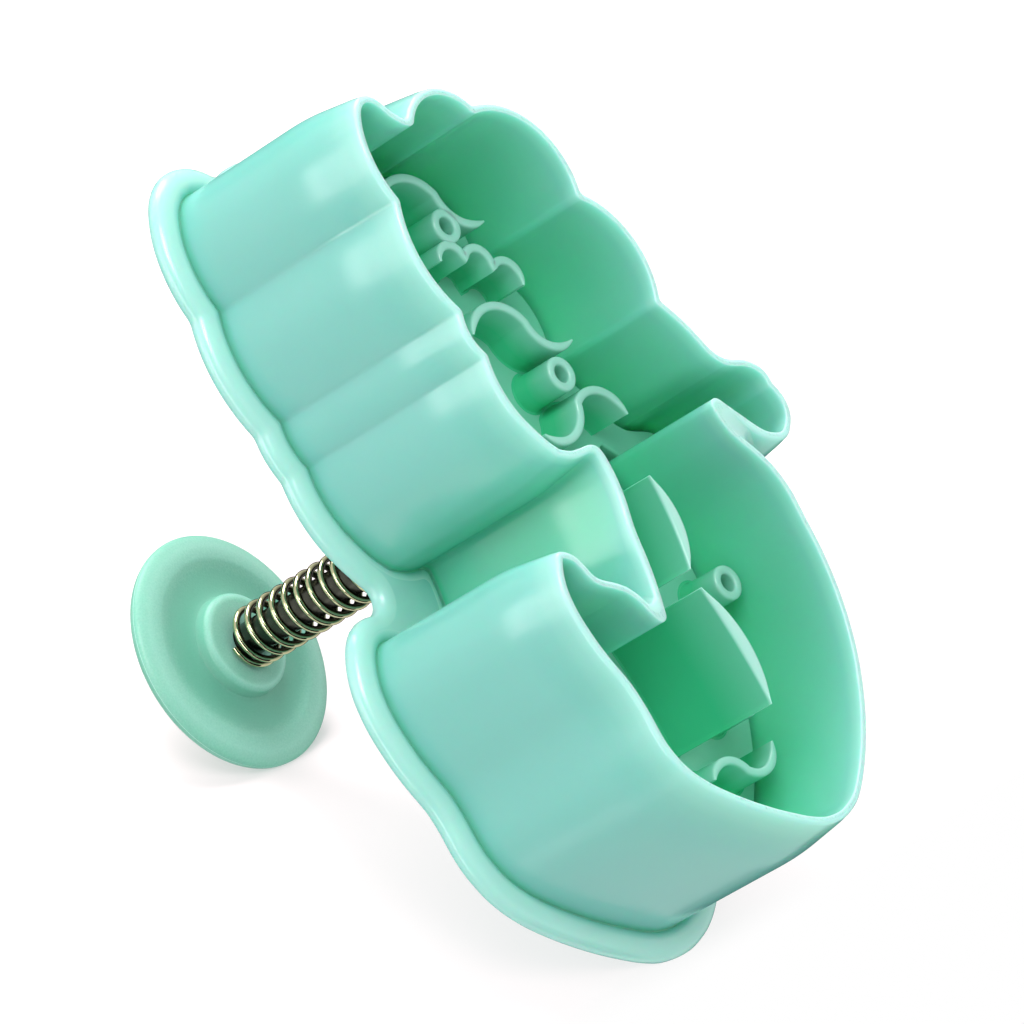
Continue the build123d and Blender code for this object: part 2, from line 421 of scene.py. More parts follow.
# A solid turned from a section, closed at both ends.
def turnPiece(name, section, count, material, paintedShadings=None):
    bm = bmesh.new()
    rings = latheRings(bm, section, count, paintedShadings)
    fillBetween(bm, rings[0])
    fillBetween(bm, rings[-1])
    return addPiece(name, bm, material)


# Points of an arc in a section, from one angle to another in degrees.
def sectionArc(centreX, centreZ, radiusX, radiusZ, fromAngle, toAngle, count):
    angles = [radians(fromAngle + (toAngle - fromAngle) * i / count) for i in range(count + 1)]
    return [(centreX + radiusX * cos(a), centreZ + radiusZ * sin(a)) for a in angles]


# Outline of the cutter, as in the CAD, and the cutter shell: wall, edge, flange, back and guide

cutterSettings = {
    "width": 48.6,
    "length": 90.4,
    "middle": (-0.0263, -0.0047),
    "wallHeight": 27.0,
    "wallThickness": 2.1,
    "edgeThickness": 0.9,
    "edgeRounds": (0.12, 0.45, 0.5),
    "bevelHeight": 8.0,
    "bendSpread": 2.4,
    "footSteps": [(0.0, 0.0), (0.0, 0.3), (0.03, 0.45)],
    "flangeOverhang": 3.3,
    "flangeThickness": 2.3,
    "flangeSmoothing": 2.0,
    "beadCrown": 1.3,
    "beadRounds": (0.75, 1.4),
    "backRound": (0.8, 0.7),
    "backSteps": [(1.2, 0.0), (1.55, 0.0), (1.75, 0.06), (1.9, 0.22), (2.1, 0.28), (2.5, 0.28)],
    "backSunk": 0.28,
    "grooveRound": 0.9,
    "cornerRound": 0.3,
    "spacing": 0.36,
    "witnessSpacing": 0.06,
    "softTurn": 26.0,
    "cornerBlur": 1.1,
    "turnStep": 9.0,
    "guideRadius": 4.2,
    "seatRadius": 5.0,
    "seatRise": 1.0,
    "boreRadius": 2.05,
    "guideFoot": 21.3,
    # Painted highlight at the edge and on the bead; painted shade in the cavity, groove and notch.
    "deepAt": 16.0,
    "edgeReach": 1.3,
    "cavityShade": 0.82,
    "edgeHighlight": 0.8,
    "paleReach": 1.8,
    "beadHighlight": 0.6,
    "grooveShade": 0.3,
    "notchShade": 0.55,
    "notchRoot": (0.2, -0.04),
    "notchReach": 9.0,
}
# Corners in shares of width and length, each with the swell of the arc that follows; where there
# is none, the arc runs on smoothly.
outlineCorners = [
    (0.278, 0.496, 0.28), (0.216, 0.479, -0.14), (0.148, 0.448, 0.295),
    (-0.053, 0.429, 0.278), (-0.222, 0.285, 0.216), (-0.276, 0.131, 0.05),
    (-0.35, 0.046, -0.125), (-0.432, 0.017, None), (-0.481, -0.023, 0.13),
    (-0.498, -0.051, 0.29), (-0.379, -0.062, 0), (-0.274, 0.013, -0.125),
    (-0.309, -0.077, 0.1), (-0.342, -0.177, 0.078), (-0.212, -0.389, None),
    (-0.012, -0.491, 0.124), (0.177, -0.481, 0.03), (0.393, -0.397, None),
    (0.465, -0.323, -0.03), (0.465, -0.243, 0.04), (0.5, -0.149, None),
    (0.453, -0.08, 0.22), (0.414, -0.102, None), (0.366, -0.137, 0.1),
    (0.29, -0.176, -0.12), (0.255, -0.212, -0.04), (0.189, -0.091, -0.06),
    (0.148, 0.007, -0.25), (0.173, 0.022, 0), (0.228, 0.021, 0.157),
    (0.305, 0.056, 0.12), (0.326, 0.169, 0.15), (0.325, 0.228, 0.134),
    (0.321, 0.376, 0.125),
]
outlineScale = np.array((cutterSettings["width"], cutterSettings["length"]))


def sharePlace(xShare, yShare):
    return np.array((xShare, yShare)) * outlineScale + cutterSettings["middle"]


def makeOutline(corners, s):
    points, facings, soft = sampleOutline(
        corners, outlineScale, s["witnessSpacing"], radians(s["softTurn"])
    )
    # Outer corners first: moved inwards by the round and back.
    anchors, fanned, held = roundOutline(points, facings, -s["cornerRound"], points)
    rounded = anchors - fanned * held[:, None]
    dense, denseFacings = softenCorners(rounded, fanned, soft, s["cornerBlur"])
    dense = dense + np.array(s["middle"])
    points, facings = thinOutline(dense, denseFacings, s["spacing"], radians(s["turnStep"]))
    return {"points": points, "facings": facings, "witnesses": dense, "rounded": {}}


outline = makeOutline(outlineCorners, cutterSettings)
print("outline sampled in", len(outline["points"]), "points")


# Half a section of the wall, as (distance outside the cavity, height), from the back of the
# cavity over the cutting edge to the bead's crown.
def wallSection(s):
    wall, edge, foot = s["wallThickness"], s["edgeThickness"], s["wallHeight"]
    section = [(0.0, h) for h in (foot, 20.0, 15.5, 12.0, 9.0, 6.5, 4.5, 3.0, 1.8, 0.9, 0.4)]
    # Cutting edge: crisp inside, soft outside.
    inside, outside, rise = s["edgeRounds"]
    section += sectionArc(inside, inside, inside, inside, 180, 270, 3)
    section += sectionArc(edge - outside, rise, outside, rise, 270, 355, 6)
    # Bevel, bent softly into the straight wall.
    low, high = s["bevelHeight"] - s["bendSpread"], s["bevelHeight"] + s["bendSpread"]
    slope = (wall - edge) / s["bevelHeight"]
    section += [(edge + slope * h, h) for h in (1.5, 3.5, low - 0.6)]
    for share in np.linspace(0, 1, 9):
        bent = low + (high - low) * (share - share * share / 2)
        section.append((edge + slope * bent, low + (high - low) * share))
    section += [(wall, h) for h in (high + 1.0, 16.0, 22.0, 25.5, 26.3)]
    # Foot of the wall, sunk a little, then the bead.
    section += [(wall + out, foot + rise) for out, rise in s["footSteps"]]
    under, _ = s["beadRounds"]
    crown = wall + s["beadCrown"]
    section += sectionArc(crown, foot + under, s["beadCrown"] - 0.05, under, 200, 268, 8)
    return section + [(crown, foot)]


# The other half, from the bead's crown round the flange to a shallow step on the back.
def flangeSection(s):
    crown = s["wallThickness"] + s["beadCrown"]
    rim = s["wallThickness"] + s["flangeOverhang"]
    foot, top = s["wallHeight"], s["wallHeight"] + s["flangeThickness"]
    _, over = s["beadRounds"]
    wide, high = s["backRound"]
    section = [(crown + 0.1, foot)]
    section += sectionArc(crown, foot + over, rim - crown, over, 278, 360, 10)
    section += sectionArc(rim - wide, top - high, wide, high, 6, 90, 6)
    return section + [(rim - inward, top - sunk) for inward, sunk in s["backSteps"]]


# Painted shading: a painted highlight at the edge and on the bead, painted shade deep in the cavity
# and in the groove.
def paintedShellShading(distance, height, s):
    overFoot = height - s["wallHeight"]
    if overFoot > -0.05:
        share = min(1.0, (distance - s["wallThickness"]) / s["beadCrown"])
        back = min(1.0, max(0.0, overFoot - 1.4))
        return (s["grooveShade"] - (s["grooveShade"] + s["beadHighlight"]) * share) * (1 - back)
    if distance > 0.05:
        return -s["edgeHighlight"] * exp(-height / s["paleReach"])
    inward = min(1.0, height / s["deepAt"]) ** 0.8
    share = (1 - exp(-height / s["edgeReach"]) + inward) / 2
    return (s["cavityShade"] + s["edgeHighlight"]) * share - s["edgeHighlight"]


# Painted shade: the outer wall is painted deeper inside the notch, where the plastic faces itself.
def paintedNotchShade(flat, distance, height, s):
    if distance < 0.6 or height > s["wallHeight"] or height < 0.6:
        return 0.0
    away = np.hypot(*(flat - sharePlace(*s["notchRoot"])).T)
    return s["notchShade"] * np.exp(-((away / s["notchReach"]) ** 2))


# Spring seat on the back, bore, and guide tube in the cavity, as (radius, height).
def guideSection(s, back):
    seat, bore, foot = s["seatRadius"], s["boreRadius"], s["guideFoot"]
    top = back + s["backSunk"] + s["seatRise"]
    section = [(seat + 2.4, back), (seat + 1.6, back), (seat + 0.8, back + 0.1)]
    section += [(seat + 0.25, back + 0.45), (seat, top - 0.35), (seat - 0.08, top - 0.12)]
    section += [(seat - 0.3, top), (seat - 0.6, top), (bore + 0.4, top), (bore + 0.12, top - 0.08)]
    section += [(bore, top - 0.3), (bore, foot + 0.2), (bore + 0.2, foot)]
    guide = s["guideRadius"]
    return section + [(guide - 0.2, foot), (guide, foot + 0.2), (guide, s["wallHeight"])]


def makeShell(outline, s):
    bm = bmesh.new()
    smoothReach = s["wallThickness"] + s["flangeOverhang"] + s["flangeSmoothing"]
    wall = [(d, h, d + s["grooveRound"]) for d, h in wallSection(s)]
    flange = [(d, h, smoothReach) for d, h in flangeSection(s)]
    runs = []
    for rows in (wall, flange):
        rings = []
        for distance, height, reach in rows:
            flat = outlineAt(outline, distance, reach)
            # Painted highlight and shade for each ring.
            depth = paintedShellShading(distance, height, s) + paintedNotchShade(flat, distance, height, s)
            rings.append(addRing(bm, flat, height, depth))
        joinRings(bm, rings)
        runs.append(rings)
    wallRings, flangeRings = runs
    # The flat of the flange, wide in the outline's hollows.
    fillBetween(bm, wallRings[-1], flangeRings[0])
    back = s["wallHeight"] + s["flangeThickness"] - s["backSunk"]
    guideRings = latheRings(bm, guideSection(s, back), 96)
    fillBetween(bm, flangeRings[-1], guideRings[0])
    fillBetween(bm, wallRings[0], guideRings[-1])
    return addPiece("cutterShell", bm, cutterPlastic)


cutterPlastic = mouldedPolypropylene("mouldedPolypropyleneSatin", plasticSettings)
cutterShell = makeShell(outline, cutterSettings)
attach(cutterShell, "shell")
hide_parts("cutter_shell")
print("cutter shell built:", len(cutterShell.data.polygons), "faces")

# Stamp: plate, ribs and crests

stampSettings = {
    "gap": 0.5,
    "faceHeight": 16.2,
    "thickness": 1.8,
    "edgeRound": 0.3,
    "cornerReach": 1.2,
    "hubRadius": 4.2,
    "hubHeight": 3.0,
    "rodSeat": 1.0,
    "ribHalfWidth": 0.55,
    "tipHalfWidth": 0.16,
    "tipLength": 2.6,
    "ringRadius": 1.55,
    "crestSpacing": 0.25,
    "crestTip": 0.1,
    # A slight painted cavity shade on the plate.
    "plateShade": 0.15,
    "plastic": {
        **plasticSettings,
        # The stamp's plain colour and its painted cavity shade.
        "outer": "#7DCFB6",
        "deep": "#3FC590",
        "scatter": 0.5,
        "scatterDepth": 0.4,
    },
}
stampPlastic = mouldedPolypropylene("mouldedPolypropyleneFine", stampSettings["plastic"])
ribSettings = {
    "Rib Height": 5.5,
    "Foot Spread": 0.45,
    "Crown Round": 0.3,
    # Painted shade from the crown to the foot and on the faces; a painted highlight on the crown.
    "Foot Shade": 1.5,
    "Face Shade": -0.1,
    "Crown Highlight": -0.45,
}
crestSettings = {
    **ribSettings,
    "Rib Height": 15.0,
    "Foot Shade": 1.3,
    "Face Shade": 0.35,
    "Crown Highlight": -0.6,
}


def makePlate(outline, s):
    bm = bmesh.new()
    face, back = s["faceHeight"], s["faceHeight"] + s["thickness"]
    r = s["edgeRound"]
    section = [(r + 0.5, face), (r + 0.1, face), *sectionArc(r, face + r, r, r, 270, 180, 4)]
    section += [*sectionArc(r, back - r, r, r, 180, 90, 3), (r + 0.4, back)]
    rings = []
    for inward, height in section:
        flat = outlineAt(outline, -s["gap"] - inward, -s["gap"] - s["cornerReach"])
        rings.append(addRing(bm, flat, height, s["plateShade"]))
    joinRings(bm, rings)
    hub, top, seat = s["hubRadius"], back + s["hubHeight"], face + s["rodSeat"]
    turnedSection = [(hub + 0.8, back), (hub + 0.25, back + 0.1), (hub, back + 0.5)]
    turnedSection += [(hub, top - 0.3), (hub - 0.3, top), (rodRadius + 0.05, top)]
    turnedSection += [(rodRadius, top - 0.1), (rodRadius, seat), (0.02, seat)]
    hubRings = latheRings(bm, turnedSection, 64)
    fillBetween(bm, rings[-1], hubRings[0])
    fillBetween(bm, hubRings[-1])
    fillBetween(bm, rings[0])
    return addPiece("stampPlate", bm, stampPlastic)


stampPlate = makePlate(outline, stampSettings)
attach(stampPlate, "plunger")
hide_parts("stamp_plate")
print("stamp plate built")

# Motifs of the stamp, as in the CAD: corners of each chain of arcs, in shares of the outline.
waveCorners = [
    [(0.1, 0.4, 0.25), (-0.07, 0.375, -0.22), (-0.17, 0.32, 0)],
    [(0.06, 0.205, 0.3), (-0.12, 0.19, -0.25), (-0.23, 0.145, 0)],
    [(0.02, 0.06, -0.3), (-0.14, 0.075, 0.3), (-0.27, 0.035, 0)],
    [(-0.13, -0.39, 0.28), (-0.01, -0.405, -0.28), (0.11, -0.395, 0)],
]
scallopSwell = 0.45
scallopCorners = [(0.03, 0.3), (-0.05, 0.29), (-0.12, 0.265), (-0.18, 0.23)]
ringCentres = [(-0.05, 0.335), (-0.14, 0.115), (-0.05, 0.005), (-0.28, -0.2), (-0.12, -0.33)]
# Each crest: where it starts and ends, and the swell of its far and near faces.
crestCorners = [
    [(0.02, -0.045), (0.06, -0.165), 0.2, 0.04],
    [(0.06, -0.19), (0.05, -0.35), 0.17, 0.03],
]


# Points along an open chain of arcs, about spacing apart.
def samplePath(corners, spacing=0.3):
    points = []
    for (x, y, swell), (nextX, nextY, _) in zip(corners, corners[1:]):
        start = sharePlace(x, y)
        chord = sharePlace(nextX, nextY) - start
        count = max(4, round(hypot(*chord) * (1 + 2 * swell * swell) / spacing))
        half = 2 * atan(2 * swell)
        points += [arcPoint(start, chord, half, step / count) for step in range(count)]
    points.append(sharePlace(*corners[-1][:2]))
    return np.array(points)


# A guide of edges alone, with a number at each point under each label.
def edgeGuide(name, vertices, edges, numbers):
    mesh = bpy.data.meshes.new(name)
    mesh.from_pydata(vertices, edges, [])
    for label, values in numbers.items():
        mesh.attributes.new(label, "FLOAT", "POINT").data.foreach_set("value", values)
    return addObject(name, mesh)


# Paths become one guide with a half width at each point, in mm.
def pathGuide(paths):
    vertices, edges, halfWidths = [], [], []
    for points, widths, closed in paths:
        first = len(vertices)
        vertices += [(x * mm, y * mm, stampSettings["faceHeight"] * mm) for x, y in points]
        halfWidths += list(widths)
        edges += [(first + i, first + i + 1) for i in range(len(points) - 1)]
        if closed:
            edges.append((len(vertices) - 1, first))
    return edgeGuide("ribPaths", vertices, edges, {"halfWidth": halfWidths})


def taperedWidths(points, s):
    steps = np.hypot(*(points[1:] - points[:-1]).T)
    along = np.concatenate(([0], np.cumsum(steps)))
    fromEnd = np.minimum(along, along[-1] - along)
    share = np.clip(fromEnd / s["tipLength"], 0, 1)
    return s["tipHalfWidth"] + (s["ribHalfWidth"] - s["tipHalfWidth"]) * share * (2 - share)


# Section of a rib: across in half widths, rise in heights, how much of the foot's spread and of
# the crown's round each corner takes, and how far it is on the crown.
ribSection = [
    (1.0, 0.0, 1.0, -1.0, 0.0),
    (1.0, 0.0, 1.0, 0.0, 0.0),
    (1.0, 0.0, 0.35, 0.25, 0.0),
    (1.0, 0.0, 0.0, 1.6, 0.0),
    (0.97, 0.5, 0.0, 0.0, 0.0),
    (0.942, 1.0, 0.0, -1.6, 0.1),
    (0.94, 1.0, 0.0, -1.0, 0.6),
    (0.82, 1.0, 0.0, -0.35, 1.0),
    (0.55, 1.0, 0.0, -0.07, 1.0),
    (0.0, 1.0, 0.0, 0.0, 1.0),
]


def sectionGuide():
    full = ribSection + [(-a, b, -c, d, e) for a, b, c, d, e in reversed(ribSection[:-1])]
    across, rise, *columns = zip(*full)
    vertices = [(x, y, 0) for x, y in zip(across, rise)]
    edges = [(i, (i + 1) % len(full)) for i in range(len(full))]
    return edgeGuide("ribSection", vertices, edges, dict(zip(("spread", "lift", "crown"), columns)))


def newTree(name, inputs):
    tree = bpy.data.node_groups.new(name, "GeometryNodeTree")
    tree.interface.new_socket("Geometry", in_out="INPUT", socket_type="NodeSocketGeometry")
    for label, kind in inputs:
        tree.interface.new_socket(label, in_out="INPUT", socket_type="NodeSocket" + kind)
    tree.interface.new_socket("Geometry", in_out="OUTPUT", socket_type="NodeSocketGeometry")
    source = addNode(tree, "NodeGroupInput")
    return tree, {socket.name: socket for socket in source.outputs if socket.name}


def finishTree(tree, geometry, material):
    whole = addNode(tree, "GeometryNodeRealizeInstances", {"Geometry": geometry})
    painted = addNode(tree, "GeometryNodeSetMaterial", {"Geometry": whole, "Material": material})
    addNode(tree, "NodeGroupOutput", {"Geometry": painted})


# Runs a tree on a guide with its named inputs, and keeps the plain mesh that comes out.
def growPiece(name, guide, tree, values, creaseAngle):
    modifier = guide.modifiers.new(tree.name, "NODES")
    modifier.node_group = tree
    for socket in tree.interface.items_tree:
        if socket.in_out == "INPUT" and socket.name in values:
            modifier[socket.identifier] = values[socket.name]
    view = bpy.context.evaluated_depsgraph_get()
    view.update()
    mesh = bpy.data.meshes.new_from_object(guide.evaluated_get(view), depsgraph=view)
    guide.modifiers.clear()
    bpy.data.objects.remove(guide)
    bm = bmesh.new()
    bm.from_mesh(mesh)
    return addPiece(name, bm, values["Material"], creaseAngle)


# Sums of a swept rib. Across: half widths and the foot's spread. Down from the plate: heights and
# the crown's round. Painted shade deepens the colour from the crown to the foot, and a painted
# highlight pales the crown.
ribSums = [
    ("across", "MULTIPLY", "drawnX", "halfWidth"),
    ("wide", "MULTIPLY_ADD", "spread", "Foot Spread", "across"),
    ("tall", "MULTIPLY", "drawnY", "Rib Height"),
    ("high", "MULTIPLY_ADD", "lift", "Crown Round", "tall"),
    ("fromCrown", "SUBTRACT", 1.0, "drawnY"),
    ("faceShade", "MULTIPLY_ADD", "fromCrown", "Foot Shade", "Face Shade"),
]
ribPlaces = [
    ("sideways", "MULTIPLY", "side", "wide"),
    ("down", "MULTIPLY", (0, 0, -1), "high"),
    ("leaning", "ADD", "sideways", "down"),
    ("final", "MULTIPLY_ADD", "leaning", (mm, mm, mm), "spot"),
]


# A rib swept along each path, upright from the plate's face towards the cutting edge.
def ribTree():
    sizes = [(size, "Float") for size in ribSettings]
    tree, known = newTree("sweptRib", [("Section", "Object"), *sizes, ("Material", "Material")])
    tangent = addNode(tree, "GeometryNodeInputTangent")
    upright = {0: tangent, 1: (0, 0, 1)}
    side = addNode(tree, "ShaderNodeVectorMath", upright, operation="CROSS_PRODUCT")
    spot = addNode(tree, "GeometryNodeInputPosition")
    path = addNode(tree, "GeometryNodeMeshToCurve", {"Mesh": known["Geometry"]})
    section = addNode(tree, "GeometryNodeObjectInfo", {"Object": known["Section"]})
    profile = addNode(tree, "GeometryNodeMeshToCurve", {"Mesh": section.outputs["Geometry"]})
    # The sweep moves every point, so each curve keeps its own places.
    curves = {"path": path, "profile": profile}
    keeps = [("path", "spot", spot), ("path", "side", side), ("profile", "drawn", spot)]
    for curve, name, value in keeps:
        kept = {"Geometry": curves[curve], "Name": name, "Value": value}
        curves[curve] = addNode(
            tree, "GeometryNodeStoreNamedAttribute", kept, data_type="FLOAT_VECTOR"
        )
    sweep = {"Curve": curves["path"], "Profile Curve": curves["profile"], "Fill Caps": True}
    swept = addNode(tree, "GeometryNodeCurveToMesh", sweep)
    vectors, numbers = ("spot", "side", "drawn"), ("halfWidth", "spread", "lift", "crown")
    for name in (*vectors, *numbers):
        kind = "FLOAT_VECTOR" if name in vectors else "FLOAT"
        known[name] = addNode(tree, "GeometryNodeInputNamedAttribute", {"Name": name}, data_type=kind)
    drawn = addNode(tree, "ShaderNodeSeparateXYZ", {0: known["drawn"]})
    known["drawnX"], known["drawnY"] = drawn.outputs["X"], drawn.outputs["Y"]
    addSums(tree, "ShaderNodeMath", known, ribSums)
    addSums(tree, "ShaderNodeVectorMath", known, ribPlaces)
    moves = {"Geometry": swept, "Position": known["final"]}
    placed = addNode(tree, "GeometryNodeSetPosition", moves)
    # Painted shade on the faces, a painted highlight on the crown.
    shades = {"Factor": known["crown"], 2: known["faceShade"], 3: known["Crown Highlight"]}
    shade = addNode(tree, "ShaderNodeMix", shades)
    depth = {"Geometry": placed, "Name": "depth", "Value": shade}
    shaded = addNode(tree, "GeometryNodeStoreNamedAttribute", depth)
    finishTree(tree, shaded, known["Material"])
    return tree


def ribPaths(s):
    paths = []
    for corners in (*waveCorners, [(x, y, scallopSwell) for x, y in scallopCorners]):
        points = samplePath(corners)
        paths.append((points, taperedWidths(points, s), False))
    turns = np.linspace(0, tau, 40, endpoint=False)
    circle = s["ringRadius"] * np.stack((np.cos(turns), np.sin(turns)), 1)
    for centre in ringCentres:
        paths.append((sharePlace(*centre) + circle, [s["ribHalfWidth"]] * len(circle), True))
    return paths


# A crest's path is the middle line between its two faces, its half width half their distance.
def crestPaths(s):
    paths = []
    for start, end, *swells in crestCorners:
        faces = [samplePath([(*start, swell), (*end, 0)], s["crestSpacing"]) for swell in swells]
        count = min(len(face) for face in faces)
        picks = [np.linspace(0, len(face) - 1, count).round().astype(int) for face in faces]
        far, near = (face[pick] for face, pick in zip(faces, picks))
        halfWidths = np.hypot(*(far - near).T) / 2
        paths.append(((far + near) / 2, np.maximum(halfWidths, s["crestTip"]), False))
    return paths


ribProfile = sectionGuide()
sweptRib = ribTree()
sweptParts = {"Section": ribProfile, "Material": stampPlastic}
ribGuide, ribValues = pathGuide(ribPaths(stampSettings)), {**ribSettings, **sweptParts}
stampRibs = growPiece("stampRibs", ribGuide, sweptRib, ribValues, 50.0)
crestGuide, crestValues = pathGuide(crestPaths(stampSettings)), {**crestSettings, **sweptParts}
stampCrests = growPiece("stampCrests", crestGuide, sweptRib, crestValues, 50.0)
bpy.data.objects.remove(ribProfile)
for piece in (stampRibs, stampCrests):
    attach(piece, "plunger")
print("stamp ribs and crests swept")

# Knob and rod

knobSettings = {
    "radius": 14.0,
    "thickness": 2.5,
    "height": 66.1,
    "edgeRound": 1.2,
    "softEdge": 3.2,
    "dishDepth": 0.3,
    "seamWidth": 0.05,
    "seamDepth": 0.03,
    "collarRadius": 6.0,
    "collarRise": 1.75,
    "collarRound": 0.8,
    "collarFoot": 0.4,
    # Painted highlights on the collar, the soft edge and the back's rim; painted shade in the dish.
    "collarTones": [(0.0, -0.2), (4.9, -0.25), (5.4, -0.45), (5.85, -0.1)],
    "faceTones": [(6.2, 0.2), (7.4, 0.28), (8.6, 0.15), (10.5, -0.2)],
    "edgeTones": [(12.5, -0.42), (13.5, -0.25), (14.0, -0.05)],
    "topTones": [(0.0, 0.1), (10.0, 0.1), (12.6, -0.35), (14.0, -0.05)],
    # A painted highlight along the seam.
    "seamHighlight": -0.9,
    "plastic": {
        **plasticSettings,
        # Painted highlight, plain and painted shade colours of the knob.
        "paintedHighlight": "#C4F0E4",
        "outer": "#78BCA6",
        "deep": "#55A488",
        "roughness": 0.42,
        "scatter": 0.5,
        "polishGrain": 0.22,
        "grainBump": 0.6,
        "grainTone": 0.07,
    },
}
knobPlastic = mouldedPolypropylene("mouldedPolypropyleneMatt", knobSettings["plastic"])


def makeKnob(s):
    seam, halfThick = s["height"], s["thickness"] / 2
    face, top = seam - halfThick, seam + halfThick
    collarFace = face - s["collarRise"]
    edge, collar, collarFoot = s["collarRound"], s["collarRadius"], s["collarFoot"]
    section = [(rodRadius - 0.1, collarFace + 1.5), (rodRadius + 0.02, collarFace + 0.1)]
    section += [(r, collarFace) for r in (rodRadius + 0.12, 3.9, collar - edge - 0.3)]
    section += sectionArc(collar - edge, collarFace + edge, edge, edge, 270, 355, 6)
    section += [(collar + 0.02, face - 0.3), (collar + 0.12, face - 0.02)]
    section += [(collar + collarFoot, face + 0.12)]
    # A shallow dish, then the soft outer edge.
    radius, soft = s["radius"], s["softEdge"]
    dishFrom, dishTo = collar + collarFoot, radius - soft
    for step in range(1, 15):
        share = step / 15
        dish = s["dishDepth"] * 4 * share * (1 - share) + 0.12 + 0.03 * share
        section.append((dishFrom + (dishTo - dishFrom) * share, face + dish))
    section += sectionArc(dishTo, seam, soft, halfThick - 0.15, 270, 357, 20)
    # A narrow seam where the mould's halves met.
    half, deep = s["seamWidth"], s["seamDepth"]
    section += [(radius, seam - half), (radius - deep, seam), (radius, seam + half)]
    r = s["edgeRound"]
    section += sectionArc(radius - r, top - r, r, r, 0, 90, 10)
    section += [(r, top) for r in (radius - r - 0.4, radius - 4.0, 6.0, 0.05)]
    # Painted shade in the dish; painted highlights on the collar, the soft edge and along the seam.
    paintedShadings, below = [], s["collarTones"] + s["faceTones"] + s["edgeTones"]
    for radius, height in section:
        tones = below if height < seam else s["topTones"]
        tone = np.interp(radius, *zip(*tones))
        paintedShadings.append(s["seamHighlight"] if abs(height - seam) < 0.04 else tone)
    return turnPiece("pressKnob", section, 128, knobPlastic, paintedShadings)


pressKnob = makeKnob(knobSettings)
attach(pressKnob, "plunger")
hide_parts("plunger_knob")

rodSettings = {
    "foot": 17.2,
    "tip": 66.55,
    "chamfer": 0.25,
    "metal": {
        "colour": "#494A42",
        "gapShadeColour": "#494A42",
        "gapFrom": 1.0,
        "gapTo": 1.5,
        "roughness": 0.22,
        "glossShares": (0.7, 1.4),
        "drawLine": 0.2,
        "stretch": 0.05,
        "lineBump": 0.15,
        "lineRelief": 0.01,
    },
}
rodSteel = drawnMetal("drawnSteelRod", rodSettings["metal"])


def makeRod(s):
    foot, tip, chamfer = s["foot"], s["tip"], s["chamfer"]
    flat = rodRadius - chamfer
    section = [(0.05, foot), (flat - 0.2, foot), (flat, foot), (rodRadius, foot + chamfer)]
    section += [(rodRadius, foot + 1.0), (rodRadius, tip - 1.0), (rodRadius, tip - chamfer)]
    section += [(flat, tip), (flat - 0.2, tip), (0.05, tip)]
    return turnPiece("plungerRod", section, 96, rodSteel)


plungerRod = makeRod(rodSettings)
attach(plungerRod, "plunger")
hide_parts("plunger_stem")
print("knob and rod turned")

# Return spring: a helix with closed end turns

springSettings = {
    "Coil Radius": 3.2,
    "Wire Radius": 0.4,
    "Foot Height": 30.3,
    "Free Length": 32.5,
    "Closed Turns": 1.0,
    "Closed Pitch": 1.3,
    "Open Turns": 14.0,
    "Steps Per Turn": 48.0,
    "Axis Y": plungerY,
}
springMetal = {
    **rodSettings["metal"],
    "colour": "#BEBD96",
    # Painted shade on the wire's inner side, in the gaps between the turns.
    "gapShadeColour": "#2E2E1E",
    "gapFrom": 3.1,
    "gapTo": 3.56,
    "roughness": 0.07,
    "drawLine": 0.05,
    "stretch": 1.0,
}
springSteel = drawnMetal("drawnSpringWire", springMetal)
# Turns counted along the wire, then its height: closed turns at both ends, and the open ones share
# what is left.
springSums = [
    ("turns", "MULTIPLY_ADD", "Closed Turns", 2.0, "Open Turns"),
    ("count", "MULTIPLY_ADD", "turns", "Steps Per Turn", 1.0),
    ("turn", "DIVIDE", "index", "Steps Per Turn"),
    ("closedRise", "MULTIPLY", "Closed Turns", "Closed Pitch"),
    ("unclosed", "MULTIPLY_ADD", "closedRise", -2.0, "Free Length"),
    ("free", "MULTIPLY_ADD", "Wire Radius", -2.0, "unclosed"),
    ("openPitch", "DIVIDE", "free", "Open Turns"),
    ("lowTurns", "MINIMUM", "turn", "Closed Turns"),
    ("pastLow", "SUBTRACT", "turn", "lowTurns"),
    ("openPart", "MINIMUM", "pastLow", "Open Turns"),
    ("highTurns", "SUBTRACT", "pastLow", "openPart"),
    ("endTurns", "ADD", "lowTurns", "highTurns"),
    ("base", "ADD", "Foot Height", "Wire Radius"),
    ("ends", "MULTIPLY_ADD", "endTurns", "Closed Pitch", "base"),
    ("height", "MULTIPLY_ADD", "openPart", "openPitch", "ends"),
    ("angle", "MULTIPLY", "turn", tau),
    ("cosine", "COSINE", "angle"),
    ("sine", "SINE", "angle"),
    ("x", "MULTIPLY", "cosine", "Coil Radius"),
    ("y", "MULTIPLY_ADD", "sine", "Coil Radius", "Axis Y"),
    ("gauge", "MULTIPLY", "Wire Radius", mm),
]


